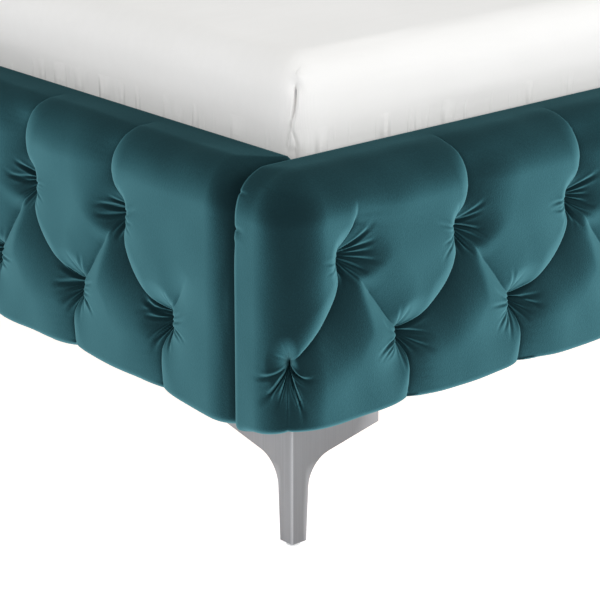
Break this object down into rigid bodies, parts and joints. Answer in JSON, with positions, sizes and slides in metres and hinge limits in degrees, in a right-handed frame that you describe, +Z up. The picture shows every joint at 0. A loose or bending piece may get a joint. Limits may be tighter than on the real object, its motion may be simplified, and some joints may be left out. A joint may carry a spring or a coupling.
{
  "type": "upholstered bed",
  "caption": "Upholstered queen bed: diamond-tufted velvet rails and headboard, L-section steel corner legs, slatted base with centre beam, mattress in a fitted sheet.",
  "frame": {"origin": "on the floor under the middle of the bed's bounding box", "axes": "+Z up, +Y from the foot of the bed to the headboard, +X to the right of someone who stands at the foot and looks at the headboard"},
  "size_m": [1.71, 2.249, 1.228],
  "materials": {
    "velvet": "matte",
    "cotton": "matte",
    "ticking": "matte",
    "brushed_steel": "satin",
    "black_steel": "satin",
    "zinc": "satin",
    "pine": "matte",
    "plywood": "matte",
    "lining_cloth": "matte",
    "white_plastic": "satin",
    "black_plastic": "satin"
  },
  "bodies": {
    "frame": {"foot_rail_pad": "velvet", "side_rail_pad_left": "velvet", "side_rail_pad_right": "velvet", "headboard_pad": "velvet", "leg_foot_left": "brushed_steel", "leg_foot_right": "brushed_steel", "leg_head_left": "brushed_steel", "leg_head_right": "brushed_steel", "glide_foot_left": "white_plastic", "glide_foot_right": "white_plastic", "glide_head_left": "white_plastic", "glide_head_right": "white_plastic", "beam_hanger_foot": "black_steel", "beam_hanger_head": "black_steel", "corner_bracket_foot_left": "black_steel", "corner_bracket_foot_right": "black_steel", "corner_bracket_head_left": "black_steel", "corner_bracket_head_right": "black_steel", "bolt_foot_left_1": "zinc", "bolt_foot_left_2": "zinc", "bolt_foot_right_1": "zinc", "bolt_foot_right_2": "zinc", "bolt_head_left_1": "zinc", "bolt_head_left_2": "zinc", "bolt_head_right_1": "zinc", "bolt_head_right_2": "zinc", "foot_rail_board": "pine", "side_rail_board_left": "pine", "side_rail_board_right": "pine", "headboard_base_rail": "pine", "headboard_post_left": "pine", "headboard_post_right": "pine", "headboard_top_rail": "pine", "slat_ledger_left": "pine", "slat_ledger_right": "pine", "centre_beam": "pine", "centre_leg_1": "pine", "centre_leg_2": "pine", "centre_leg_3": "pine", "slat_01": "pine", "slat_02": "pine", "slat_03": "pine", "slat_04": "pine", "slat_05": "pine", "slat_06": "pine", "slat_07": "pine", "slat_08": "pine", "slat_09": "pine", "slat_10": "pine", "slat_11": "pine", "slat_12": "pine", "headboard_panel": "plywood", "headboard_back_cover": "lining_cloth"},
    "bedding": {"mattress": "ticking", "fitted_sheet": "cotton"},
    "levelling_foot_1": {"levelling_foot_1": "black_plastic"},
    "levelling_foot_2": {"levelling_foot_2": "black_plastic"},
    "levelling_foot_3": {"levelling_foot_3": "black_plastic"}
  },
  "joints": [
    {"name": "mattress_lift", "type": "slide", "parent": "frame", "child": "bedding", "axis": [0, 0, 1], "range_m": [0, 0.3]},
    {"name": "levelling_foot_1_screw", "type": "slide", "parent": "frame", "child": "levelling_foot_1", "axis": [0, 0, -1], "range_m": [0, 0.015]},
    {"name": "levelling_foot_2_screw", "type": "slide", "parent": "frame", "child": "levelling_foot_2", "axis": [0, 0, -1], "range_m": [0, 0.015]},
    {"name": "levelling_foot_3_screw", "type": "slide", "parent": "frame", "child": "levelling_foot_3", "axis": [0, 0, -1], "range_m": [0, 0.015]}
  ]
}
